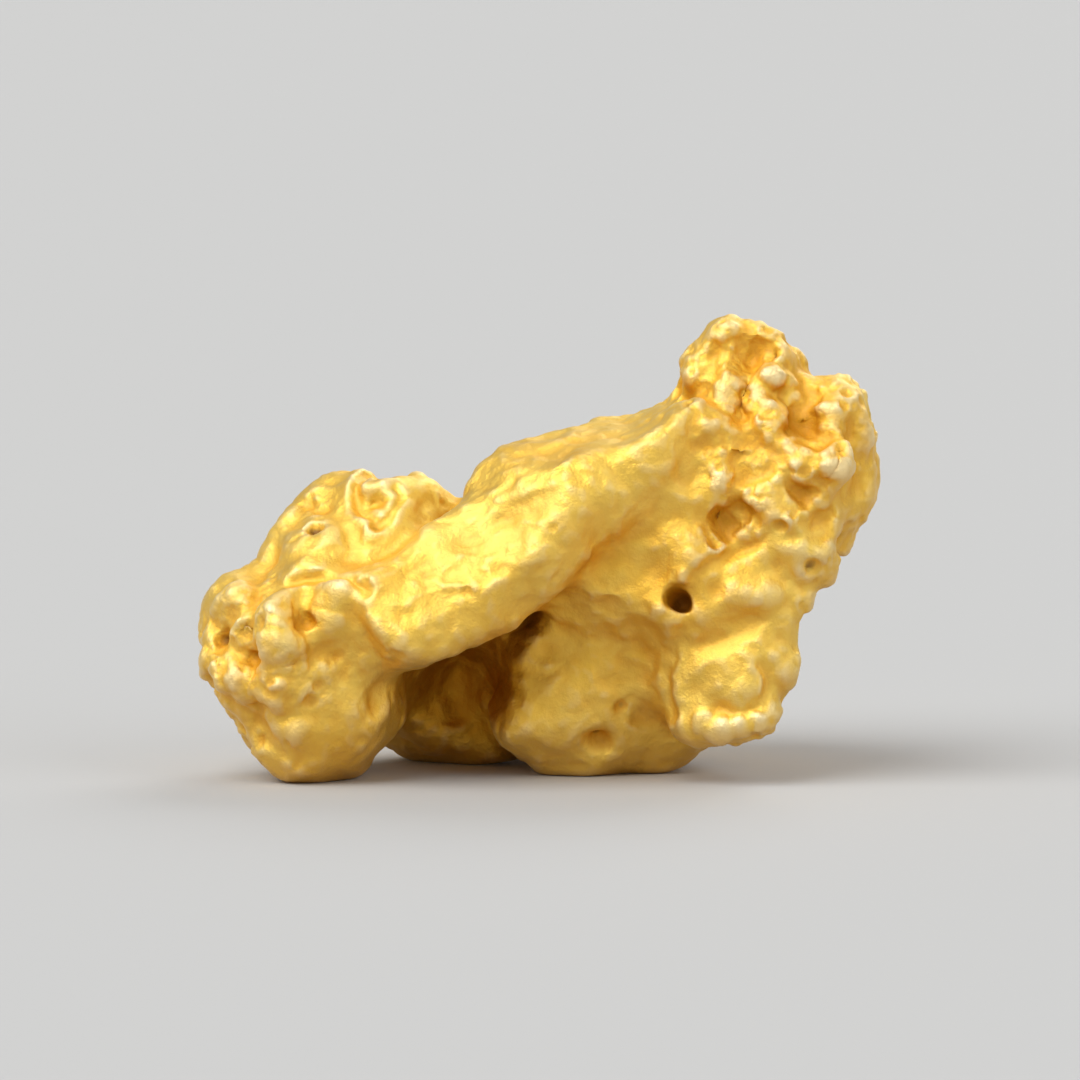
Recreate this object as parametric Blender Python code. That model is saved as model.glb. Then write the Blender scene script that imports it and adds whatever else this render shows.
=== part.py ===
"""A gold nugget about 9.6 mm wide: one solid lump of native gold.

X is to the right, -Y towards the viewer and Z up. The shape is worked out in
millimetres and scaled to metres at the end. Rounded lobes are fused into one
skin, the skin is rumpled by crust, knobs, pits and creases, and its four
lowest lobes end in flats worn at Z = 0, on which the nugget rests.
"""

import bmesh
import bpy
import numpy as np
from mathutils import Euler, Matrix, Vector, noise

MM_TO_M = 0.001

# Skin
FUSE_VOXEL = 0.12
JOINT_SMOOTHING = 6
TRIANGLES = 9400
WORN_DEPTH = 0.18

# Lobes: centre, radii, turn about X, Y and Z in degrees
LOBES = (
    # left foot, and the swellings on it
    ((-3.35, -0.60, 1.72), (1.50, 1.50, 1.30), (0, 15, 0)),
    ((-4.05, -0.40, 2.20), (0.84, 1.10, 0.90), (0, 0, 0)),
    ((-3.10, -0.75, 1.10), (1.25, 1.25, 1.06), (0, -12, 0)),
    ((-3.35, -1.35, 2.25), (0.86, 0.72, 0.76), (0, 0, 0)),
    ((-2.90, -0.30, 2.75), (1.05, 1.05, 0.80), (0, -15, 0)),
    # upper left lobe, behind the ridge
    ((-2.75, 0.05, 3.50), (1.15, 1.05, 0.82), (0, -8, 10)),
    ((-1.95, 0.00, 3.45), (1.00, 1.10, 1.00), (0, 0, 0)),
    # middle of the top, where the ridge meets the right lobe
    ((0.20, -0.45, 4.12), (1.20, 1.20, 1.02), (0, -10, 0)),
    ((1.30, -0.35, 4.20), (1.15, 1.30, 1.00), (0, -12, 0)),
    # right lobe
    ((3.10, -0.05, 4.55), (1.62, 1.60, 1.36), (0, 0, 0)),
    ((2.72, -0.05, 5.56), (0.86, 1.05, 0.98), (0, 10, 0)),
    ((3.95, -0.20, 4.90), (0.95, 1.05, 0.90), (0, 30, 0)),
    ((2.25, -0.95, 4.65), (1.00, 0.85, 0.92), (0, 0, 0)),
    ((3.22, -0.80, 3.90), (0.98, 0.90, 0.95), (0, 0, 0)),
    ((2.72, -0.65, 2.75), (1.02, 0.95, 1.00), (0, 0, 0)),
    # neck down to the round button, and the button
    ((2.05, -0.50, 2.90), (1.25, 1.10, 1.20), (0, 0, 0)),
    ((2.30, -0.10, 1.70), (1.15, 1.15, 1.15), (0, 0, 0)),
    ((2.52, -1.18, 1.52), (1.28, 0.78, 0.88), (0, -38, 0)),
    # middle body, set back under the ridge
    ((0.70, 0.10, 1.52), (1.45, 1.20, 1.48), (0, 0, 0)),
    ((1.20, -0.30, 2.60), (1.20, 1.05, 1.05), (0, 0, 0)),
    ((0.45, -0.25, 0.84), (1.25, 0.85, 0.68), (0, 10, 0)),
    ((1.45, 0.15, 0.85), (1.20, 0.95, 0.78), (0, 0, 0)),
    # rear body, with its foot and shoulders
    ((0.00, 1.25, 2.40), (2.60, 1.55, 1.55), (8, -14, 0)),
    ((-1.20, 1.45, 1.32), (1.70, 1.15, 1.10), (0, 0, -10)),
    ((0.75, 2.15, 1.25), (1.45, 1.20, 1.35), (0, 0, 0)),
    ((2.05, 1.35, 3.45), (1.65, 1.35, 1.45), (0, 0, 25)),
    ((-2.45, 0.75, 2.25), (1.55, 1.20, 1.25), (0, 10, -20)),
    ((-0.90, 2.25, 2.60), (1.25, 0.95, 1.00), (0, 0, 0)),
    ((1.10, 2.15, 3.80), (1.15, 1.00, 0.90), (0, 0, 0)),
    ((2.00, 1.10, 1.80), (1.10, 1.00, 1.05), (0, 0, 0)),
)

# Ridges: points each with a radius, joined into one rounded strand
RIDGES = (
    # the smooth arm across the front
    (
        ((-2.75, -1.15, 2.20), 0.78),
        ((-1.80, -1.50, 2.50), 0.86),
        ((-0.95, -1.50, 2.98), 0.90),
        ((-0.10, -1.30, 3.62), 0.92),
        ((0.75, -1.15, 4.08), 0.84),
        ((1.60, -1.05, 4.35), 0.76),
    ),
    # a fold down the back
    (
        ((-2.50, 1.45, 2.80), 0.50),
        ((-1.60, 2.10, 3.05), 0.55),
        ((-0.20, 2.45, 3.50), 0.55),
        ((1.20, 2.60, 3.40), 0.60),
        ((2.20, 2.30, 2.60), 0.55),
    ),
)

# How far the fused lobes are pulled out of round: length of the wave, reach
WANDERING = (
    (2.40, 0.34),
    (1.05, 0.18),
)

# Worn faces: a point on each, the way it faces, how far round it reaches
WORN_FACES = (
    ((-4.55, -0.70, 1.20), (-0.85, -0.30, -0.45), 1.10),
    ((-2.90, -1.85, 1.00), (0.10, -0.90, -0.35), 1.00),
    ((-0.80, -2.15, 3.35), (-0.30, -0.75, 0.60), 1.20),
    ((0.30, -0.60, 5.00), (-0.12, -0.15, 0.98), 1.30),
    ((2.55, -1.72, 1.30), (-0.25, -0.95, 0.10), 0.75),
    ((0.70, -1.00, 1.60), (-0.10, -0.98, 0.10), 1.00),
    ((4.30, 0.90, 3.60), (0.80, 0.55, 0.05), 1.40),
    ((0.20, 2.95, 2.20), (0.05, 0.98, -0.15), 1.60),
    ((-2.60, 1.55, 1.90), (-0.60, 0.75, -0.20), 1.30),
    ((-0.90, 1.20, 3.75), (-0.20, 0.25, 0.95), 1.50),
    ((2.40, 1.80, 4.60), (0.25, 0.55, 0.78), 1.20),
)

# Creases: the line each follows, how wide and how deep it is
CREASES = (
    # under the arm
    (((-1.95, -1.70, 1.35), (-1.10, -1.60, 1.85), (-0.20, -1.40, 2.40), (0.35, -1.40, 2.80)), 0.34, 0.22),
    # the curved groove of the upper left lobe
    (((-2.10, -0.60, 3.95), (-2.45, -0.60, 4.00), (-2.65, -0.65, 3.70), (-2.50, -0.70, 3.40)), 0.20, 0.16),
    # between the arm and the left foot
    (((-2.70, -2.00, 2.75), (-2.25, -2.10, 1.90), (-2.05, -1.90, 1.30)), 0.26, 0.14),
    # round the button
    (((3.05, -1.90, 2.45), (2.40, -1.90, 2.25), (1.95, -1.85, 1.90)), 0.24, 0.16),
    # between the right lobe and its neck
    (((2.10, -1.60, 2.70), (2.50, -1.70, 3.10), (3.10, -1.70, 3.20), (3.70, -1.30, 3.00)), 0.24, 0.12),
    # down the back
    (((-1.90, 2.20, 2.90), (-0.60, 3.00, 3.50), (0.60, 3.00, 3.20), (1.40, 3.00, 2.10)), 0.34, 0.26),
    (((0.90, 1.80, 5.00), (1.70, 2.30, 4.20), (2.80, 2.30, 3.40)), 0.32, 0.24),
    # across the top
    (((-2.00, 0.10, 4.40), (-1.20, 0.90, 4.40), (0.20, 1.50, 4.50)), 0.34, 0.24),
)

# Crusty regions: centre, radius, strength
CRUST = (
    ((3.20, -0.60, 4.70), 2.30, 1.00),
    ((3.90, -0.90, 3.10), 1.20, 0.80),
    ((-3.80, -1.20, 1.60), 1.80, 0.75),
    ((3.35, -1.50, 0.60), 1.00, 0.90),
    ((-2.60, -0.10, 4.10), 1.20, 0.45),
    ((2.90, 2.30, 3.70), 1.50, 0.80),
    ((-1.60, 2.60, 1.90), 1.50, 0.60),
    ((0.30, 2.10, 4.50), 1.20, 0.50),
)

# Pits: where each one opens, its radius and its depth
PITS = (
    ((1.92, -1.65, 2.70), 0.17, 0.45),
    ((-1.10, 0.20, 1.40), 0.75, 0.60),
    ((-2.23, -0.60, 3.45), 0.16, 0.26),
    ((0.85, -1.05, 0.62), 0.22, 0.30),
    ((-4.10, -1.60, 1.95), 0.28, 0.30),
    ((-3.05, -2.05, 2.75), 0.30, 0.28),
    ((3.00, -1.60, 4.55), 0.30, 0.34),
    ((3.70, -1.20, 5.20), 0.36, 0.34),
    ((3.85, -1.50, 3.70), 0.28, 0.18),
    ((2.85, -1.70, 3.85), 0.26, 0.28),
    ((2.90, -0.60, 6.05), 0.26, 0.26),
    ((-4.60, 0.20, 1.80), 0.36, 0.30),
    ((4.70, 0.30, 4.40), 0.36, 0.34),
    ((3.30, 1.70, 4.90), 0.34, 0.34),
    ((1.90, 2.90, 3.10), 0.30, 0.34),
    ((-0.60, 3.20, 2.60), 0.44, 0.40),
    ((-2.70, 2.00, 2.70), 0.34, 0.34),
    ((-1.20, 2.20, 1.60), 0.40, 0.44),
    ((0.10, 0.60, 5.20), 0.34, 0.30),
    ((2.30, 1.20, 5.00), 0.30, 0.30),
)


def clear_scene():
    for item in list(bpy.data.objects):
        bpy.data.objects.remove(item, do_unlink=True)


def add_lobe(bm, centre, radii, turn):
    place = Matrix.Translation(centre)
    spin = Euler([np.radians(a) for a in turn]).to_matrix().to_4x4()
    size = Matrix.Diagonal((*radii, 1.0))
    bmesh.ops.create_icosphere(bm, subdivisions=4, radius=1.0, matrix=place @ spin @ size)


def add_ridge(bm, stations, step=0.2):
    """A rounded strand: balls a small step apart, growing and shrinking between the stations."""
    for (start, wide), (end, narrow) in zip(stations, stations[1:]):
        start, end = Vector(start), Vector(end)
        count = max(1, round((end - start).length / step))
        for i in range(count + 1):
            share = i / count
            radius = wide + (narrow - wide) * share
            add_lobe(bm, start.lerp(end, share), (radius, radius, radius), (0, 0, 0))


def evaluated_mesh(mesh, kind, **settings):
    """The mesh after one modifier of this kind."""
    holder = bpy.data.objects.new("holder", mesh)
    bpy.context.scene.collection.objects.link(holder)
    modifier = holder.modifiers.new(kind, kind)
    for name, value in settings.items():
        setattr(modifier, name, value)
    graph = bpy.context.evaluated_depsgraph_get()
    result = bpy.data.meshes.new_from_object(holder.evaluated_get(graph))
    bpy.data.objects.remove(holder, do_unlink=True)
    return result


def points_of(mesh):
    points = np.empty(len(mesh.vertices) * 3, np.float32)
    mesh.vertices.foreach_get("co", points)
    return points.reshape(-1, 3).astype(np.float64)


def normals_of(mesh):
    normals = np.empty(len(mesh.vertices) * 3, np.float32)
    mesh.vertex_normals.foreach_get("vector", normals)
    return normals.reshape(-1, 3).astype(np.float64)


def set_points(mesh, points):
    mesh.vertices.foreach_set("co", points.astype(np.float32).ravel())
    mesh.update()


def smoothed(mesh, rounds, share=0.5):
    """Each point moves part of the way to the middle of its neighbours, a few times over."""
    edges = np.empty(len(mesh.edges) * 2, np.int32)
    mesh.edges.foreach_get("vertices", edges)
    a, b = edges.reshape(-1, 2).T
    points = points_of(mesh)
    count = np.bincount(a, minlength=len(points)) + np.bincount(b, minlength=len(points))
    for _ in range(rounds):
        total = np.zeros_like(points)
        for axis in range(3):
            total[:, axis] += np.bincount(a, points[b, axis], len(points))
            total[:, axis] += np.bincount(b, points[a, axis], len(points))
        points += share * (total / count[:, None] - points)
    set_points(mesh, points)


def falloff(distance, radius):
    """1 at the middle, 0 from the radius on, with no corner at either end."""
    share = np.clip(1.0 - distance / radius, 0.0, 1.0)
    return share * share * (3.0 - 2.0 * share)


def crustiness(points):
    """How crusty the skin is at each point, from 0 on worn smooth gold to 1."""
    most = np.zeros(len(points))
    for centre, radius, strength in CRUST:
        near = falloff(np.linalg.norm(points - np.array(centre), axis=1), radius)
        most = np.maximum(most, strength * np.minimum(1.0, 2.0 * near))
    return most


def swell(points, size, seed):
    """A slow wave over the skin, about -1 to 1."""
    shift = Vector((seed * 7.3, seed * 3.1, seed * 5.7))
    return np.array([noise.noise(Vector(p) / size + shift) for p in points])


def knobs(points, size, seed):
    """Rounded knobs packed side by side: 1 on a knob's top, 0 in the creases between them."""
    shift = Vector((seed * 4.7, seed * 8.9, seed * 2.3))
    heights = []
    for p in points:
        near = noise.voronoi(Vector(p) / size + shift)[0]
        heights.append(1.0 - min(1.0, near[0] / max(near[1], 1e-6)) ** 2)
    return np.array(heights)


def wander(mesh):
    """Pulls the lobes out of round, as no lobe of a natural lump is a clean ball."""
    points = points_of(mesh)
    pull = np.zeros_like(points)
    for i, (length, reach) in enumerate(WANDERING):
        for axis in range(3):
            pull[:, axis] += reach * swell(points, length, 11 + 3 * i + axis)
    set_points(mesh, points + pull)


def wear_faces(mesh):
    """Where the skin stands out past a worn face it is pressed most of the way back."""
    for point, facing, reach in WORN_FACES:
        points = points_of(mesh)
        facing = np.array(facing) / np.linalg.norm(facing)
        out = (points - np.array(point)) @ facing
        near = falloff(np.linalg.norm(points - np.array(point), axis=1), reach * 1.6)
        press = np.clip(out + 0.12, 0.0, None) * np.minimum(1.0, 1.8 * near) * 0.8
        set_points(mesh, points - press[:, None] * facing)


def distance_to_line(points, line):
    """How far each point is from a line of straight runs."""
    nearest = np.full(len(points), np.inf)
    for start, end in zip(line, line[1:]):
        start, end = np.array(start), np.array(end)
        run = end - start
        share = np.clip((points - start) @ run / (run @ run), 0.0, 1.0)
        away = np.linalg.norm(points - start - share[:, None] * run, axis=1)
        nearest = np.minimum(nearest, away)
    return nearest


def onto_skin(points, line):
    """The line moved to the nearest points of the skin, with a point midway along each run."""
    middles = [tuple((np.array(a) + np.array(b)) / 2) for a, b in zip(line, line[1:])]
    fuller = [line[0]]
    for middle, end in zip(middles, line[1:]):
        fuller += [middle, end]
    return [points[np.argmin(np.linalg.norm(points - np.array(p), axis=1))] for p in fuller]


def press_creases(mesh):
    for line, width, depth in CREASES:
        points, normals = points_of(mesh), normals_of(mesh)
        groove = falloff(distance_to_line(points, onto_skin(points, line)), width)
        set_points(mesh, points - normals * depth * groove[:, None])


def rumple(mesh):
    """Waves, folds and knobs, each laid on the skin that the one before it left."""
    points = points_of(mesh)
    wave = 0.10 * swell(points, 1.2, 1) + 0.07 * swell(points, 0.6, 2)
    set_points(mesh, points + normals_of(mesh) * wave[:, None])

    points = points_of(mesh)
    crust = crustiness(points)
    knob = 0.30 * (knobs(points, 0.95, 3) - 0.45) * crust
    knob += 0.08 * (knobs(points, 1.30, 4) - 0.5) * (1.0 - crust)
    set_points(mesh, points + normals_of(mesh) * knob[:, None])

    points = points_of(mesh)
    knob = 0.14 * (knobs(points, 0.55, 5) - 0.45) * crust
    set_points(mesh, points + normals_of(mesh) * knob[:, None])


def sink_pits(mesh):
    for centre, radius, depth in PITS:
        points, normals = points_of(mesh), normals_of(mesh)
        away = np.linalg.norm(points - np.array(centre), axis=1)
        nearest = points[np.argmin(away)]
        away = np.linalg.norm(points - nearest, axis=1)
        bowl = depth * falloff(away, radius * 1.5)
        rim = 0.12 * depth * falloff(np.abs(away - radius * 1.5), radius * 0.6)
        inward = normals[np.argmin(away)]
        set_points(mesh, points - inward * bowl[:, None] + normals * rim[:, None])


def wear_flats(mesh):
    """Sets the lowest lobes down on Z = 0 and cuts them flat there."""
    bm = bmesh.new()
    bm.from_mesh(mesh)
    lowest = min(v.co.z for v in bm.verts)
    bmesh.ops.translate(bm, verts=bm.verts, vec=(0, 0, -lowest - WORN_DEPTH))
    parts = bm.verts[:] + bm.edges[:] + bm.faces[:]
    cut = bmesh.ops.bisect_plane(
        bm, geom=parts, dist=1e-5, plane_co=(0, 0, 0), plane_no=(0, 0, 1), clear_inner=True
    )
    rim = [e for e in cut["geom_cut"] if isinstance(e, bmesh.types.BMEdge)]
    bmesh.ops.holes_fill(bm, edges=rim, sides=0)
    bmesh.ops.triangulate(bm, faces=bm.faces[:])
    bmesh.ops.recalc_face_normals(bm, faces=bm.faces[:])
    result = bpy.data.meshes.new("nugget")
    bm.to_mesh(result)
    bm.free()
    return result


def centre_on_floor(mesh):
    """The middle of the nugget's box goes over the origin, and the points go to metres."""
    points = points_of(mesh)
    middle = (points.min(axis=0) + points.max(axis=0)) / 2
    points[:, :2] -= middle[:2]
    set_points(mesh, points * MM_TO_M)


def gold():
    material = bpy.data.materials.new("gold")
    material.use_nodes = True
    surface = material.node_tree.nodes["Principled BSDF"]
    surface.inputs["Base Color"].default_value = (0.80, 0.50, 0.12, 1.0)
    surface.inputs["Metallic"].default_value = 1.0
    surface.inputs["Roughness"].default_value = 0.42
    return material


def make_nugget():
    bm = bmesh.new()
    for centre, radii, turn in LOBES:
        add_lobe(bm, centre, radii, turn)
    for stations in RIDGES:
        add_ridge(bm, stations)
    lumps = bpy.data.meshes.new("lumps")
    bm.to_mesh(lumps)
    bm.free()

    skin = evaluated_mesh(lumps, "REMESH", mode="VOXEL", voxel_size=FUSE_VOXEL, adaptivity=0.0)
    smoothed(skin, JOINT_SMOOTHING)
    wander(skin)
    wear_faces(skin)
    press_creases(skin)
    rumple(skin)
    sink_pits(skin)
    smoothed(skin, 1)

    skin.calc_loop_triangles()
    share = TRIANGLES / len(skin.loop_triangles)
    light = evaluated_mesh(skin, "DECIMATE", ratio=min(1.0, share), use_collapse_triangulate=True)
    mesh = wear_flats(light)
    centre_on_floor(mesh)
    for face in mesh.polygons:
        face.use_smooth = abs(face.normal.z) < 0.9999
    mesh.materials.append(gold())
    nugget = bpy.data.objects.new("nugget", mesh)
    bpy.context.scene.collection.objects.link(nugget)


clear_scene()
make_nugget()
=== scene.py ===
"""The look of the gold nugget: its finished skin, its gold, a pale floor and soft light.

The skin is made from the CAD solid's own mesh, in millimetres, and goes back to
metres at the end. X is to the right, -Y towards the camera and Z up. Lengths in
the tables below are millimetres, but metres for the camera and the floor. Places
on the front are given as the camera sees them: how far right of the middle, and
how high.
"""

import math

import bpy
import numpy as np
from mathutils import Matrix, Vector, bvhtree, kdtree, noise


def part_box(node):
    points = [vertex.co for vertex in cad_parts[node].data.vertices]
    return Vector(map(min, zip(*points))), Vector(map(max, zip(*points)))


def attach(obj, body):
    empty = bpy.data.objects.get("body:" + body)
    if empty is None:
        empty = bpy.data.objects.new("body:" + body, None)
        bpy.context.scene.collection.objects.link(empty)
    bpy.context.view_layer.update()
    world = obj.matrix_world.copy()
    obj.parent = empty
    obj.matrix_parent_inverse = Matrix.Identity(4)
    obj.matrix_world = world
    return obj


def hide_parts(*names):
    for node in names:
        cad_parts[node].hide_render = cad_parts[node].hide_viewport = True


MM_PER_M = 1000.0

# Camera: how far it looks down, how far off it is, and the width that it sees there
LIFT = math.radians(6.3)
DISTANCE = 0.25
VIEW_WIDTH = 0.0150

# Fine mesh: grid step, triangles kept, and rounds that smooth the solid's facets away
VOXEL = 0.040
TRIANGLES = 194000
FACET_SMOOTHING = 16

# Crusty regions: centre, radius, strength
CRUST = (
    ((3.10, -0.60, 4.60), 2.50, 1.00),
    ((3.85, -0.90, 3.00), 1.30, 0.85),
    ((-3.85, -1.20, 1.60), 1.90, 0.85),
    ((3.30, -1.50, 0.60), 1.00, 0.90),
    ((-2.60, -0.30, 4.00), 1.30, 0.55),
    ((2.90, 2.10, 3.60), 1.70, 0.90),
    ((-1.60, 2.40, 1.80), 1.70, 0.75),
    ((0.30, 1.90, 4.70), 1.40, 0.65),
    ((-3.90, 0.90, 2.20), 1.20, 0.60),
    ((1.30, 2.60, 1.20), 1.20, 0.60),
)

# Waves all over the skin: height, length, seed
WAVES = (
    (0.030, 0.50, 52),
    (0.022, 0.24, 53),
    (0.011, 0.12, 54),
)

# Thin puckers: how deep they are, and how sharp
PUCKER_DEPTH = 0.020
PUCKER_SHARPNESS = 4.0

# Openings between the crust's lumps: depth, and the part of a slow wave that opens
OPENING_DEPTH = 0.17
OPENING_FROM = 0.26
OPENING_MOST = 0.45

# Knobs of the crust, coarse to fine: spacing, least and greatest radius, height, seed
KNOBS = (
    (0.48, 0.34, 0.54, 0.170, 21),
    (0.25, 0.17, 0.28, 0.070, 22),
    (0.13, 0.09, 0.14, 0.032, 23),
)
KNOB_SINK = 0.6
KNOB_ROUNDING = 0.65

# Knobs that stand out on the front: right, up, radius, height
FRONT_KNOBS = (
    (1.47, 4.38, 0.49, 0.07),
    (2.53, 4.95, 0.46, 0.13),
    (2.96, 5.12, 0.36, 0.10),
    (3.39, 5.33, 0.41, 0.12),
    (4.10, 4.95, 0.46, 0.14),
    (4.50, 4.72, 0.35, 0.10),
    (3.46, 4.42, 0.35, 0.10),
    (3.10, 3.89, 0.46, 0.14),
    (2.46, 3.86, 0.41, 0.11),
    (4.17, 4.08, 0.43, 0.12),
    (3.86, 5.80, 0.38, 0.12),
    (3.42, 5.72, 0.32, 0.10),
    (2.96, 2.68, 0.51, 0.11),
    (3.50, 2.80, 0.38, 0.10),
    (-2.20, 3.96, 0.32, 0.06),
    (-3.23, 3.30, 0.49, 0.08),
    (-3.94, 2.89, 0.43, 0.10),
    (-3.66, 2.36, 0.46, 0.12),
    (-2.88, 2.36, 0.43, 0.07),
    (-3.66, 1.54, 0.51, 0.12),
    (-3.08, 2.11, 0.44, 0.13),
    (-3.02, 1.20, 0.46, 0.08),
    (-4.24, 1.15, 0.41, 0.10),
    (-3.59, 0.66, 0.46, 0.09),
)
FRONT_KNOB_ROUNDING = 1.3

# The button's rim: middle, half width and height, first and last angle in degrees
BUTTON = (2.70, 1.21)
BUTTON_REACH = (0.80, 0.68)
BUTTON_ARC = (-130, 40)

# Beads along the rim: how many, radius and height, and those of the larger ones among them
BEADS = 9
BEAD_RADIUS, WIDE_BEAD_RADIUS = 0.20, 0.25
BEAD_HEIGHT, HIGH_BEAD_HEIGHT = 0.11, 0.15
BEAD_ROUNDING = 0.6

# Groove inside the beads: share of the way out to the rim, half width, depth
RIM_GROOVE = (0.66, 0.09, 0.07)

# Hollows seen from the front: right, up, radius, depth
FRONT_PITS = (
    (3.60, 4.81, 0.27, 0.09),
    (2.82, 4.31, 0.16, 0.10),
    (2.53, 3.48, 0.15, 0.11),
    (3.17, 5.84, 0.14, 0.14),
    (4.28, 5.30, 0.10, 0.10),
    (4.15, 4.55, 0.15, 0.12),
    (3.28, 3.30, 0.12, 0.10),
    (1.90, 2.38, 0.18, 0.26),
    (0.80, 0.46, 0.10, 0.16),
    (-2.23, 3.44, 0.12, 0.12),
    (-4.16, 1.97, 0.20, 0.14),
    (-3.10, 0.92, 0.12, 0.08),
    (0.11, 3.39, 0.07, 0.06),
    (-0.95, 3.05, 0.05, 0.04),
)

# Loose pits: spacing, share of places tried on crust and anywhere, least and greatest radius,
# steepness, seed
LOOSE_PITS = (
    (0.60, 0.010, 0.000, 0.08, 0.16, 0.90, 41),
    (0.35, 0.012, 0.000, 0.05, 0.09, 0.90, 42),
    (0.90, 0.000, 0.004, 0.03, 0.07, 0.35, 43),
)

# How far a pit's outline strays from round, how round its bowl is, and the depth that counts as full
PIT_UNEVENNESS = 0.35
PIT_ROUNDING = 1.2
PIT_FULL = 0.20

# Grooves seen from the front: the line each follows, half width, depth
FRONT_GROOVES = (
    # the curl on the upper left lobe
    (((-2.28, 3.50), (-2.58, 3.74), (-2.60, 4.05), (-2.30, 4.26), (-2.02, 4.16)), 0.11, 0.12),
    (((-2.02, 3.98), (-1.96, 3.78), (-2.15, 3.52)), 0.09, 0.07),
    # the slit over the left foot
    (((-3.42, 2.70), (-3.05, 2.76), (-2.66, 2.74), (-2.52, 2.55)), 0.13, 0.13),
    # long shallow furrows on the arm
    (((-1.90, 2.20), (-1.10, 2.55), (-0.40, 3.00)), 0.16, 0.030),
    (((-1.60, 2.95), (-0.70, 3.45), (0.20, 4.00)), 0.18, 0.030),
    # the sunk place under the neck
    (((1.05, 2.60), (1.45, 2.72)), 0.50, 0.12),
    # where the button stands off the body
    (((2.02, 1.92), (1.78, 1.62), (1.66, 1.22), (1.76, 0.78)), 0.13, 0.06),
    # the fold between the neck and the lobe's underside
    (((2.15, 2.55), (2.55, 2.95), (3.05, 3.25), (3.55, 3.15)), 0.15, 0.09),
)

# Creases: passes that ease them, and how sharp a hollow has to be
CREASE_PASSES = 2
CREASE_DEPTH = 0.030
CREASE_FROM = 0.2
CREASE_SPAN = 0.6

# Wear: how far a lump stands out before it is worn, how much of the rest goes, and how softly
WORN_HEIGHT = 0.10
WORN_SHARE = 0.55
WORN_EASE = 0.035
# the height over which the skin is worn smooth towards the flats
FOOT_BAND = 0.16
# how far the skin may stand out of the solid's box, as a share of each side
PROUD = 0.015

# Hollows for the colours: rounds of smoothing they are measured against, and full depth
FINE_HOLLOW = (14, 0.035)
BROAD_HOLLOW = (180, 0.20)

# Shelter: rays from each point, and how far each looks
SHELTER_RAYS = 14
SHELTER_REACH = 2.5

# Colours of the gold: its own tones first, then paler crests and darker places that partly paint
# highlight and shade on it
WORN_DARKER = (0.92, 0.555, 0.045)
WORN_PALER = (0.95, 0.665, 0.11)
# paler gold on crests: partly wear, partly a painted highlight
CREST_WEAR_AND_HIGHLIGHT = (0.96, 0.82, 0.49)
# darker, more orange gold in fine creases: partly oxide stain, partly painted shade
HOLLOW_STAIN_AND_SHADE = (0.80, 0.43, 0.012)
# darker gold in broad recesses: painted shade
RECESS_PAINTED_SHADE = (0.78, 0.40, 0.012)
# darker gold on faces turned downwards: painted shade
UNDERSIDE_PAINTED_SHADE = (0.71, 0.34, 0.012)
# dark brown where the nugget shuts off its own open side: painted shade
SHELTER_PAINTED_SHADE = (0.46, 0.185, 0.008)
# dark brown in pits: partly rust stain, partly painted shade
RUST_AND_PIT_SHADE = (0.13, 0.045, 0.006)

# Floor, in metres
FLOOR_REACH = 3.0
FLOOR_SIDES = 96
FLOOR_GREY = (0.50, 0.50, 0.495)

# The grey all round: sine of the height above the horizon, brightness there
SKY = ((0.0, 0.62), (0.12, 0.50), (0.35, 0.30), (0.75, 0.34), (1.0, 0.60))

# Lights: name, the side each comes from, how wide it is in degrees, strength
LIGHTS = (
    ("key", (-0.60, -0.48, 0.95), 52, 2.40),
    ("fill", (0.80, -0.55, 0.50), 40, 0.60),
    ("back", (0.40, 0.70, 0.65), 36, 1.00),
)


def points_of(mesh):
    points = np.empty(len(mesh.vertices) * 3, np.float32)
    mesh.vertices.foreach_get("co", points)
    return points.reshape(-1, 3).astype(np.float64)


def normals_of(mesh):
    normals = np.empty(len(mesh.vertices) * 3, np.float32)
    mesh.vertex_normals.foreach_get("vector", normals)
    return normals.reshape(-1, 3).astype(np.float64)


def set_points(mesh, points):
    mesh.vertices.foreach_set("co", points.astype(np.float32).ravel())
    mesh.update()


def lift_skin(mesh, lift):
    set_points(mesh, points_of(mesh) + normals_of(mesh) * lift[:, None])


def ends_of(mesh):
    edges = np.empty(len(mesh.edges) * 2, np.int32)
    mesh.edges.foreach_get("vertices", edges)
    return edges.reshape(-1, 2).T


def relaxed(values, ends, rounds, share=0.5):
    """Each point's value moved towards the middle of its neighbours', a few times over."""
    a, b = ends
    values = values.copy()
    size = len(values)
    count = np.maximum(1, np.bincount(a, minlength=size) + np.bincount(b, minlength=size))
    for _ in range(rounds):
        total = np.empty_like(values)
        for column in range(values.shape[1]):
            from_b = np.bincount(a, values[b, column], size)
            from_a = np.bincount(b, values[a, column], size)
            total[:, column] = from_b + from_a
        values += share * (total / count[:, None] - values)
    return values


def falloff(distance, radius):
    share = np.clip(1.0 - distance / radius, 0.0, 1.0)
    return share * share * (3.0 - 2.0 * share)


def swell(points, size, seed):
    """A slow wave over the skin, about -1 to 1."""
    shift = Vector((seed * 7.3, seed * 3.1, seed * 5.7))
    return np.array([noise.noise(Vector(p) / size + shift) for p in points])


def bent(points, reach, size, seed):
    """The points pushed about by slow waves, so that shapes laid out among them aren't quite round."""
    push = [swell(points, size, seed * 10 + axis) for axis in range(3)]
    return points + reach * np.stack(push, axis=1)


def crustiness(points):
    """How crusty the skin is, from 0 on worn smooth gold to 1, with a ragged border."""
    most = np.zeros(len(points))
    for centre, radius, strength in CRUST:
        near = falloff(np.linalg.norm(points - np.array(centre), axis=1), radius)
        most = np.maximum(most, strength * np.minimum(1.0, 2.0 * near))
    ragged = 0.55 * swell(points, 0.9, 31) + 0.35 * swell(points, 0.4, 32)
    return np.clip((most + ragged - 0.30) / 0.35, 0.0, 1.0)


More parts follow.
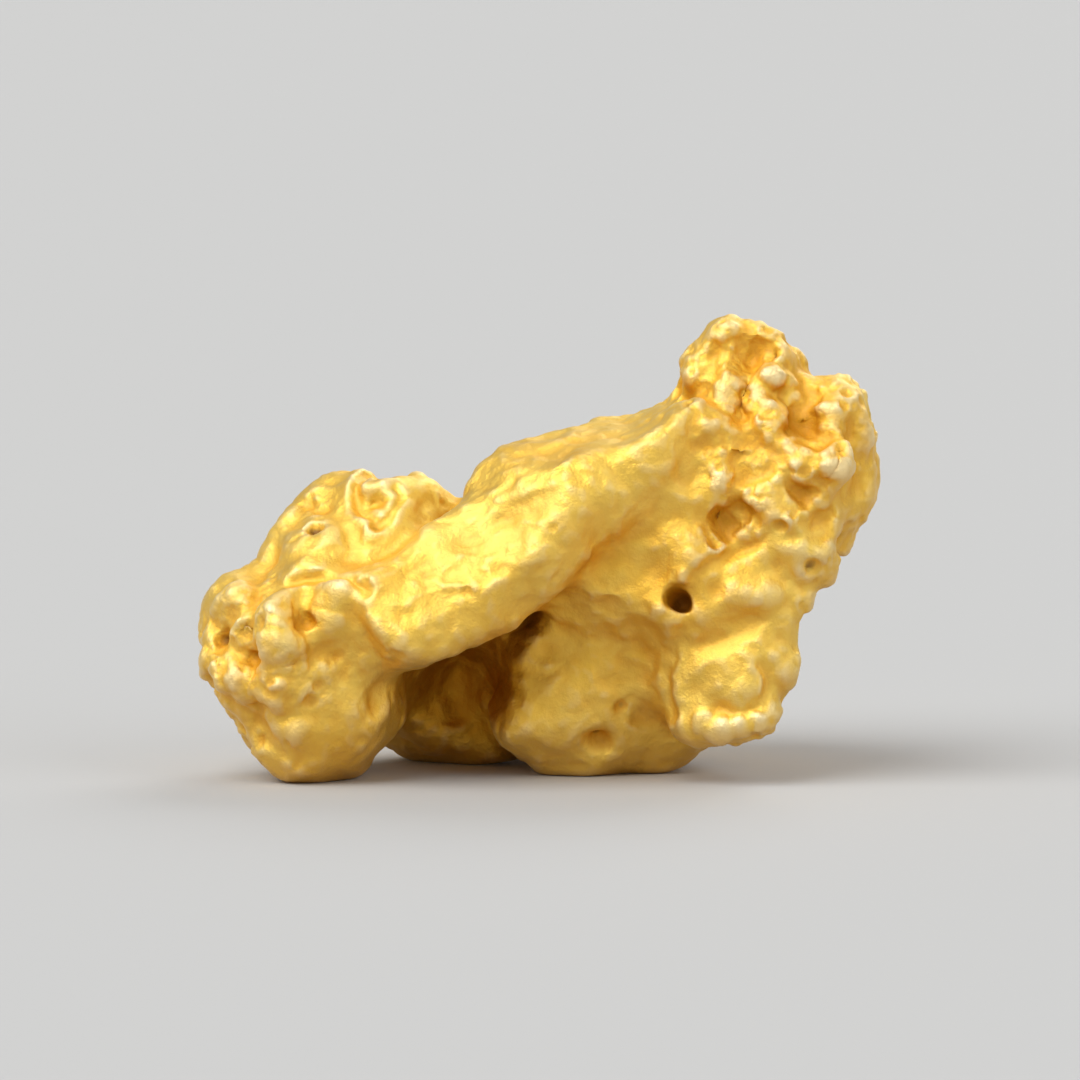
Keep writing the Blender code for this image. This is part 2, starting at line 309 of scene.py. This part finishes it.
def front_place(points, right, up):
    """Which skin point the camera sees at this place, or None off the nugget."""
    height = points[:, 1] * math.sin(LIFT) + points[:, 2] * math.cos(LIFT)
    near = np.flatnonzero(np.hypot(points[:, 0] - right, height - up) < 2 * VOXEL)
    return near[np.argmin(points[near, 1])] if len(near) else None


def scattered(points, chance, spacing, seed):
    """Places on the skin at least a spacing apart, thicker where the chance is higher."""
    dice = np.random.default_rng(seed)
    order = dice.permutation(len(points))
    order = order[dice.random(len(points)) < chance[order]]
    cells = {}
    chosen = []
    for i in order:
        cell = tuple((points[i] // spacing).astype(int))
        near = [
            j
            for x in (-1, 0, 1)
            for y in (-1, 0, 1)
            for z in (-1, 0, 1)
            for j in cells.get((cell[0] + x, cell[1] + y, cell[2] + z), ())
        ]
        if near and np.min(np.linalg.norm(points[near] - points[i], axis=1)) < spacing:
            continue
        cells.setdefault(cell, []).append(i)
        chosen.append(i)
    return points[np.array(chosen)], dice


def tree_of(points):
    tree = kdtree.KDTree(len(points))
    for i, p in enumerate(points):
        tree.insert(p, i)
    tree.balance()
    return tree


def domes(tree, size, places, rounding):
    """The outline of rounded tops set side by side: each a place, a radius and a height.

    A low rounding gives full tops with steep sides, and one over 1 gives slack ones.
    """
    lift = np.zeros(size)
    for place, radius, height in places:
        for _, j, away in tree.find_range(place, radius):
            top = height * max(0.0, 1.0 - (away / radius) ** 2) ** rounding
            lift[j] = max(lift[j], top)
    return lift


def button_arc(share):
    """Places along the button's rim, or at a share of the way out to it."""
    first, last = (math.radians(a) for a in BUTTON_ARC)
    angles = [first + (last - first) * i / (BEADS - 1) for i in range(BEADS)]
    wide, tall = share * BUTTON_REACH[0], share * BUTTON_REACH[1]
    return tuple((BUTTON[0] + wide * math.cos(a), BUTTON[1] + tall * math.sin(a)) for a in angles)


def button_beads():
    """The beads on the rim: every third is wider, and every other one higher."""
    beads = []
    for i, place in enumerate(button_arc(1.0)):
        radius = WIDE_BEAD_RADIUS if i % 3 == 1 else BEAD_RADIUS
        height = HIGH_BEAD_HEIGHT if i % 2 == 1 else BEAD_HEIGHT
        beads.append((*place, radius, height))
    return beads


def raise_front_knobs(mesh, knobs, rounding):
    points = points_of(mesh)
    bends = bent(points, 0.08, 0.4, 61)
    places = []
    for right, up, radius, height in knobs:
        i = front_place(points, right, up)
        if i is not None:
            places.append((bends[i], radius, height))
    lift_skin(mesh, domes(tree_of(bends), len(points), places, rounding))


def raise_knobs(mesh, crust):
    """Rounded knobs side by side, then smaller ones on them, each square to the skin below it."""
    for spacing, least, most, height, seed in KNOBS:
        points = bent(points_of(mesh), 0.30 * spacing, 0.9 * spacing, seed)
        places, dice = scattered(points, np.where(crust > 0.05, 0.7, 0.0), spacing, seed)
        tops = []
        for place in places:
            radius = least + (most - least) * dice.random()
            tops.append((place, radius, height * (radius / most) * (0.5 + 0.8 * dice.random())))
        lift = domes(tree_of(points), len(points), tops, KNOB_ROUNDING)
        lift_skin(mesh, (lift - KNOB_SINK * height) * np.minimum(1.0, 1.3 * crust))
        # the joins between knobs are eased, less between the finer ones
        set_points(mesh, relaxed(points_of(mesh), ends_of(mesh), 1, 0.8 * spacing))


def sink(mesh, places):
    """Hollows of uneven outline: each a place on the skin, a radius and a depth."""
    points = points_of(mesh)
    drop = np.zeros(len(points))
    tree = tree_of(points)
    wave = [swell(points, 0.22, 70 + axis) for axis in range(2)]
    for place, radius, depth in places:
        for _, j, away in tree.find_range(place, radius * 1.6):
            stretch = 1.0 + PIT_UNEVENNESS * wave[0][j]
            share = away / radius * stretch + 0.4 * PIT_UNEVENNESS * wave[1][j]
            drop[j] = max(drop[j], depth * max(0.0, 1.0 - share * share) ** PIT_ROUNDING)
    lift_skin(mesh, -drop)
    return drop


def front_pits(mesh):
    points = points_of(mesh)
    places = []
    for right, up, radius, depth in FRONT_PITS:
        i = front_place(points, right, up)
        if i is not None:
            places.append((points[i], radius, depth))
    return sink(mesh, places)


def front_grooves(mesh):
    share, width, depth = RIM_GROOVE
    rim_groove = (button_arc(share), width, depth)
    for line, width, depth in (*FRONT_GROOVES, rim_groove):
        points = points_of(mesh)
        stations = []
        for (x0, z0), (x1, z1) in zip(line, line[1:]):
            for share in (0.0, 0.25, 0.5, 0.75):
                stations.append(front_place(points, x0 + (x1 - x0) * share, z0 + (z1 - z0) * share))
        stations.append(front_place(points, *line[-1]))
        stations = [points[i] for i in stations if i is not None]
        away = np.full(len(points), np.inf)
        for start, end in zip(stations, stations[1:]):
            run = end - start
            along = np.clip((points - start) @ run / max(run @ run, 1e-9), 0.0, 1.0)
            away = np.minimum(away, np.linalg.norm(points - start - along[:, None] * run, axis=1))
        uneven = width * (1.0 + 0.5 * swell(points, 0.35, 81))
        lift_skin(mesh, -depth * falloff(away, uneven * 1.3))


def loose_pits(mesh, crust):
    """Pits strewn over the crust, and a few small ones on the worn gold."""
    points = points_of(mesh)
    places = []
    for spacing, on_crust, anywhere, least, most, steep, seed in LOOSE_PITS:
        found, dice = scattered(points, on_crust * crust + anywhere, spacing, seed)
        for place in found:
            radius = least + (most - least) * dice.random() ** 1.5
            places.append((place, radius, radius * steep * (0.6 + 0.8 * dice.random())))
    return sink(mesh, places)


def dents(mesh):
    """Wide shallow dents, as tumbling among stones leaves them."""
    points = points_of(mesh)
    found, dice = scattered(points, np.full(len(points), 0.02), 0.42, 44)
    places = []
    for place in found:
        radius = 0.20 + 0.30 * dice.random()
        places.append((place, radius, radius * (0.05 + 0.09 * dice.random())))
    sink(mesh, places)


def rumple(mesh, crust):
    """Waves and thin puckers all over, then openings between the crust's lumps."""
    points = points_of(mesh)
    lift = sum(height * swell(points, length, seed) for height, length, seed in WAVES)
    puckered = np.abs(swell(bent(points, 0.08, 0.3, 4), 0.30, 57))
    lift -= PUCKER_DEPTH * np.clip(1.0 - PUCKER_SHARPNESS * puckered, 0.0, 1.0)
    lift_skin(mesh, lift)
    points = bent(points_of(mesh), 0.10, 0.35, 5)
    opening = swell(points, 0.46, 55) + 0.5 * swell(points, 0.22, 56)
    lift_skin(mesh, -OPENING_DEPTH * np.clip(opening - OPENING_FROM, 0.0, OPENING_MOST) * crust)


def hollowness(mesh, ends, rounds, depth):
    """1 in a hollow of this depth or more, 0 on even skin, -1 on a crest."""
    points = points_of(mesh)
    below = relaxed(points, ends, rounds) - points
    return np.clip(np.einsum("ij,ij->i", below, normals_of(mesh)) / depth, -1.0, 1.0)


def shelter(mesh, ends):
    """The share of the open side that the nugget itself shuts off.

    It is counted by rays sent out from each point, spread evenly about its normal.
    """
    points, normals = points_of(mesh), normals_of(mesh)
    tree = bvhtree.BVHTree.FromPolygons(points.tolist(), [tuple(f.vertices) for f in mesh.polygons])
    turn = math.pi * (3.0 - math.sqrt(5.0))
    rays = []
    for i in range(SHELTER_RAYS):
        up = math.sqrt(1.0 - (i + 0.5) / SHELTER_RAYS)
        out = math.sqrt(1.0 - up * up)
        rays.append((out * math.cos(turn * i), out * math.sin(turn * i), up))
    across = np.where(np.abs(normals[:, :1]) < 0.7, [[1.0, 0.0, 0.0]], [[0.0, 1.0, 0.0]])
    side = np.cross(normals, across)
    side /= np.linalg.norm(side, axis=1)[:, None]
    other = np.cross(normals, side)
    shut = np.zeros(len(points))
    starts = points + normals * 0.02
    for x, y, z in rays:
        ways = side * x + other * y + normals * z
        for j, (start, way) in enumerate(zip(starts, ways)):
            if tree.ray_cast(start, way, SHELTER_REACH)[0] is not None:
                shut[j] += 1.0 / SHELTER_RAYS
    return relaxed(shut[:, None], ends, 3)[:, 0]


def keep(mesh, name, values):
    """Stores a number for each point, for the gold to read."""
    layer = mesh.attributes.new(name, "FLOAT", "POINT")
    layer.data.foreach_set("value", values.astype(np.float32))


def evaluated_mesh(mesh, kind, **settings):
    """The mesh after one modifier of this kind."""
    holder = bpy.data.objects.new("holder", mesh)
    bpy.context.scene.collection.objects.link(holder)
    modifier = holder.modifiers.new(kind, kind)
    for name, value in settings.items():
        setattr(modifier, name, value)
    graph = bpy.context.evaluated_depsgraph_get()
    result = bpy.data.meshes.new_from_object(holder.evaluated_get(graph))
    bpy.data.objects.remove(holder, do_unlink=True)
    return result


def fine_skin(node):
    """The node's own surface made fine, with its facets smoothed away."""
    coarse = node.data.copy()
    set_points(coarse, points_of(coarse) * MM_PER_M)
    skin = evaluated_mesh(coarse, "REMESH", mode="VOXEL", voxel_size=VOXEL, adaptivity=0.0)
    skin.materials.clear()
    set_points(skin, relaxed(points_of(skin), ends_of(skin), FACET_SMOOTHING))
    return skin


def creases_eased(mesh, points, ends):
    """The points with the sharpest creases between them filled a little."""
    for _ in range(CREASE_PASSES):
        set_points(mesh, points)
        sharp = hollowness(mesh, ends, 6, CREASE_DEPTH) - CREASE_FROM
        share = np.clip(sharp, 0.0, CREASE_SPAN)[:, None] / CREASE_SPAN
        points = points + share * (relaxed(points, ends, 8) - points)
    return points


def worn_down(points, base, facing):
    """What stands furthest out is worn flatter, and towards the flats all is worn smooth."""
    out = np.einsum("ij,ij->i", points - base, facing)
    press = WORN_SHARE * WORN_EASE * np.log1p(np.exp((out - WORN_HEIGHT) / WORN_EASE))
    points = points - facing * press[:, None]
    worn = falloff(base[:, 2], FOOT_BAND)[:, None]
    return points * (1.0 - worn) + base * worn


def within_box(points):
    """What stands out of the solid's box is eased back, and nothing goes below the flats."""
    low, high = (np.array(corner) * MM_PER_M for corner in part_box("nugget"))
    room = PROUD * (high - low)
    over = points - high
    points = np.where(over > 0.0, high + room * np.tanh(over / room), points)
    under = low - points
    points = np.where(under > 0.0, low - room * np.tanh(under / room), points)
    points[:, 2] = np.maximum(points[:, 2], low[2])
    return points


def make_skin(node):
    skin = fine_skin(node)
    ends = ends_of(skin)
    base, facing = points_of(skin), normals_of(skin)
    crust = crustiness(base)
    rumple(skin, crust)
    dents(skin)
    front_grooves(skin)
    raise_front_knobs(skin, FRONT_KNOBS, FRONT_KNOB_ROUNDING)
    raise_front_knobs(skin, button_beads(), BEAD_ROUNDING)
    raise_knobs(skin, crust)
    pit = np.maximum(front_pits(skin), loose_pits(skin, crust))

    points = relaxed(points_of(skin), ends, 1, 0.3)
    points = creases_eased(skin, points, ends)
    points = within_box(worn_down(points, base, facing))
    set_points(skin, points)

    keep(skin, "crust", crust)
    keep(skin, "pit", np.clip(pit / PIT_FULL, 0.0, 1.0))
    keep(skin, "fine_hollow", hollowness(skin, ends, *FINE_HOLLOW))
    keep(skin, "broad_hollow", hollowness(skin, ends, *BROAD_HOLLOW))
    skin = evaluated_mesh(skin, "DECIMATE", ratio=TRIANGLES / (2 * len(skin.polygons)))
    # shelter and under let the gold paint shade where the nugget is shut in and turned down
    keep(skin, "shelter", shelter(skin, ends_of(skin)))
    keep(skin, "under", relaxed(0.5 - 0.5 * normals_of(skin)[:, 2:], ends_of(skin), 6)[:, 0])

    set_points(skin, points_of(skin) / MM_PER_M)
    for face in skin.polygons:
        face.use_smooth = True
    surface = bpy.data.objects.new("nugget_surface", skin)
    bpy.context.scene.collection.objects.link(surface)
    return surface


class Nodes:
    """Short calls for building a material."""

    def __init__(self, name):
        self.material = bpy.data.materials.new(name)
        self.material.use_nodes = True
        self.tree = self.material.node_tree
        self.surface = self.tree.nodes["Principled BSDF"]
        self.place = self.add("ShaderNodeTexCoord").outputs["Object"]

    def add(self, kind, **settings):
        node = self.tree.nodes.new(kind)
        for name, value in settings.items():
            setattr(node, name, value)
        return node

    def join(self, source, target):
        self.tree.links.new(source, target)

    def attribute(self, name):
        return self.add("ShaderNodeAttribute", attribute_name=name).outputs["Fac"]

    def grain(self, scale, detail, roughness=0.5, distortion=0.0):
        node = self.add("ShaderNodeTexNoise")
        node.inputs["Scale"].default_value = scale
        node.inputs["Detail"].default_value = detail
        node.inputs["Roughness"].default_value = roughness
        node.inputs["Distortion"].default_value = distortion
        self.join(self.place, node.inputs["Vector"])
        return node.outputs["Fac"]

    def cells(self, scale):
        node = self.add("ShaderNodeTexVoronoi")
        node.inputs["Scale"].default_value = scale
        self.join(self.place, node.inputs["Vector"])
        return node.outputs["Distance"]

    def span(self, value, low, high, to_low, to_high):
        """The value from low to high, turned into one from to_low to to_high."""
        node = self.add("ShaderNodeMapRange")
        self.join(value, node.inputs["Value"])
        ends = (("From Min", low), ("From Max", high), ("To Min", to_low), ("To Max", to_high))
        for name, number in ends:
            node.inputs[name].default_value = number
        return node.outputs["Result"]

    def maths(self, operation, first, second):
        node = self.add("ShaderNodeMath", operation=operation)
        for socket, value in zip(node.inputs, (first, second)):
            if isinstance(value, (int, float)):
                socket.default_value = value
            else:
                self.join(value, socket)
        return node.outputs[0]

    def blend(self, share, first, second):
        """One colour over another by a share from 0 to 1."""
        node = self.add("ShaderNodeMix", data_type="RGBA")
        self.join(share, node.inputs[0])
        for socket, value in zip(node.inputs[6:8], (first, second)):
            if isinstance(value, tuple):
                socket.default_value = (*value, 1.0)
            else:
                self.join(value, socket)
        return node.outputs[2]


def gold_colour(made, fine, shut):
    """Own tones varied at random; paler on crests, partly wear and partly painted highlight; darker in
    creases, partly oxide stain and partly painted shade; painted shade in recesses, underneath and in
    shut-off places; rust and painted shade in pits.
    """
    pit = made.attribute("pit")
    tone = made.span(made.grain(520.0, 5.0, 0.6), 0.36, 0.64, 0.0, 1.0)
    colour = made.blend(tone, WORN_DARKER, WORN_PALER)
    # crests paler: partly wear, partly a painted highlight
    crest = made.span(fine, -0.10, -0.95, 0.0, 0.75)
    colour = made.blend(crest, colour, CREST_WEAR_AND_HIGHLIGHT)
    # fine creases darker: partly oxide stain, partly painted shade
    hollow = made.span(fine, 0.05, 0.9, 0.0, 0.85)
    colour = made.blend(hollow, colour, HOLLOW_STAIN_AND_SHADE)
    # broad recesses darker: painted shade
    deep = made.span(made.attribute("broad_hollow"), 0.15, 0.9, 0.0, 0.6)
    colour = made.blend(deep, colour, RECESS_PAINTED_SHADE)
    # faces turned downwards darker: painted shade
    low = made.span(made.attribute("under"), 0.35, 1.0, 0.0, 0.6)
    colour = made.blend(low, colour, UNDERSIDE_PAINTED_SHADE)
    # places the nugget shuts in go dark brown: painted shade
    painted_shelter_shade = made.span(shut, 0.18, 0.70, 0.0, 0.9)
    colour = made.blend(painted_shelter_shade, colour, SHELTER_PAINTED_SHADE)
    # pits dark brown: partly rust stain, partly painted shade
    rust_place = made.span(made.grain(300.0, 5.0, 0.6, 0.4), 0.38, 0.60, 0.55, 1.0)
    rust_and_pit_shade = made.maths("MULTIPLY", rust_place, made.span(pit, 0.40, 0.85, 0.0, 0.95))
    return made.blend(rust_and_pit_shade, colour, RUST_AND_PIT_SHADE)


def gold_dullness(made, crust, fine):
    """Satin where it is worn, duller on the crust and in fine hollows."""
    dull = made.span(made.grain(1100.0, 4.0, 0.6), 0.3, 0.7, 0.48, 0.62)
    dull = made.maths("ADD", dull, made.maths("MULTIPLY", crust, 0.05))
    return made.maths("ADD", dull, made.span(fine, 0.0, 0.8, 0.0, 0.14))


def gold_grit(made, crust):
    """Grain finer than the mesh: grit all over, and small beads on the crust."""
    grit = made.maths("MULTIPLY", made.grain(6500.0, 5.0, 0.7), 0.9)
    rough_share = made.span(crust, 0.0, 1.0, 0.45, 0.9)
    rough = made.maths("MULTIPLY", made.grain(2400.0, 3.0, 0.55), rough_share)
    beads = made.maths("MULTIPLY", made.cells(9000.0), made.maths("MULTIPLY", crust, -0.45))
    bump = made.add("ShaderNodeBump")
    bump.inputs["Strength"].default_value = 0.6
    bump.inputs["Distance"].default_value = 0.00006
    height = made.maths("ADD", made.maths("ADD", grit, rough), beads)
    made.join(height, bump.inputs["Height"])
    return bump.outputs["Normal"]


def gold():
    """Native gold: pale and satin where it is worn, the paleness partly a painted highlight; deeper
    and grainy in its hollows, with painted shade there and underneath.
    """
    made = Nodes("native_gold")
    crust = made.attribute("crust")
    fine = made.attribute("fine_hollow")
    shut = made.attribute("shelter")
    inputs = made.surface.inputs
    inputs["Metallic"].default_value = 1.0
    made.join(gold_colour(made, fine, shut), inputs["Base Color"])
    made.join(gold_dullness(made, crust, fine), inputs["Roughness"])
    made.join(gold_grit(made, crust), inputs["Normal"])
    # a thin gloss on what is rubbed most
    made.join(made.span(shut, 0.08, 0.45, 0.75, 0.05), inputs["Coat Weight"])
    inputs["Coat Roughness"].default_value = 0.5
    inputs["Coat IOR"].default_value = 1.6
    return made.material


def floor_grey():
    material = bpy.data.materials.new("floor_grey")
    material.use_nodes = True
    surface = material.node_tree.nodes["Principled BSDF"]
    surface.inputs["Base Color"].default_value = (*FLOOR_GREY, 1.0)
    surface.inputs["Roughness"].default_value = 0.8
    surface.inputs["Specular IOR Level"].default_value = 0.1
    return material


def make_floor():
    """A round floor, so wide that its edge lies at the horizon."""
    angles = [2 * math.pi * i / FLOOR_SIDES for i in range(FLOOR_SIDES)]
    ring = [(FLOOR_REACH * math.cos(a), FLOOR_REACH * math.sin(a), 0.0) for a in angles]
    mesh = bpy.data.meshes.new("floor")
    mesh.from_pydata(ring, [], [list(range(FLOOR_SIDES))])
    mesh.materials.append(floor_grey())
    floor = bpy.data.objects.new("floor", mesh)
    bpy.context.scene.collection.objects.link(floor)


def make_light(name, side, width, strength):
    """Even light from one side, as soft as a panel that spans this many degrees."""
    lamp = bpy.data.lights.new(name, "SUN")
    lamp.angle = math.radians(width)
    lamp.energy = strength
    light = bpy.data.objects.new(name, lamp)
    light.location = Vector(side).normalized() * DISTANCE
    light.rotation_euler = Vector(side).to_track_quat("Z", "Y").to_euler()
    bpy.context.scene.collection.objects.link(light)


def make_world():
    """Grey all round, as bright at the horizon as the floor is there."""
    world = bpy.data.worlds.new("studio")
    world.use_nodes = True
    tree = world.node_tree
    way = tree.nodes.new("ShaderNodeTexCoord")
    split = tree.nodes.new("ShaderNodeSeparateXYZ")
    ramp = tree.nodes.new("ShaderNodeValToRGB")
    tree.links.new(way.outputs["Generated"], split.inputs[0])
    tree.links.new(split.outputs["Z"], ramp.inputs["Fac"])
    tree.links.new(ramp.outputs["Color"], tree.nodes["Background"].inputs["Color"])
    stops = ramp.color_ramp.elements
    for i, (height, grey) in enumerate(SKY):
        stop = stops[i] if i < len(stops) else stops.new(height)
        stop.position = height
        stop.color = (grey, grey, grey, 1.0)
    bpy.context.scene.world = world


def make_camera(low, high):
    """A long lens a little above level, square to the nugget's length."""
    camera = bpy.data.cameras.new("camera")
    camera.sensor_width = 36.0
    camera.lens = camera.sensor_width * DISTANCE / VIEW_WIDTH
    camera.clip_start = 0.001
    camera.clip_end = 5.0
    back = Vector((0.0, -math.cos(LIFT), math.sin(LIFT)))
    eye = bpy.data.objects.new("camera", camera)
    eye.location = (low + high) / 2 + back * DISTANCE
    eye.rotation_euler = back.to_track_quat("Z", "Y").to_euler()
    bpy.context.scene.collection.objects.link(eye)
    bpy.context.scene.camera = eye


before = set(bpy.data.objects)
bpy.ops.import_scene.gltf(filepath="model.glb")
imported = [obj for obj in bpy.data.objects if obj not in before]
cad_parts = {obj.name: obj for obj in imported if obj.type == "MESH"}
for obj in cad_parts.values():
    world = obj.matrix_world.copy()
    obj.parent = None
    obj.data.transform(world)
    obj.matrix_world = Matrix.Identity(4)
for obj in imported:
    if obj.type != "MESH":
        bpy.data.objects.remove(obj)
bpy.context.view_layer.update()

skin = make_skin(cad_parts["nugget"])
skin.data.materials.append(gold())
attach(skin, "root")
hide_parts("nugget")

make_floor()
make_world()
for name, side, width, strength in LIGHTS:
    make_light(name, side, width, strength)
make_camera(*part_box("nugget"))
bpy.context.scene.view_settings.view_transform = "Standard"
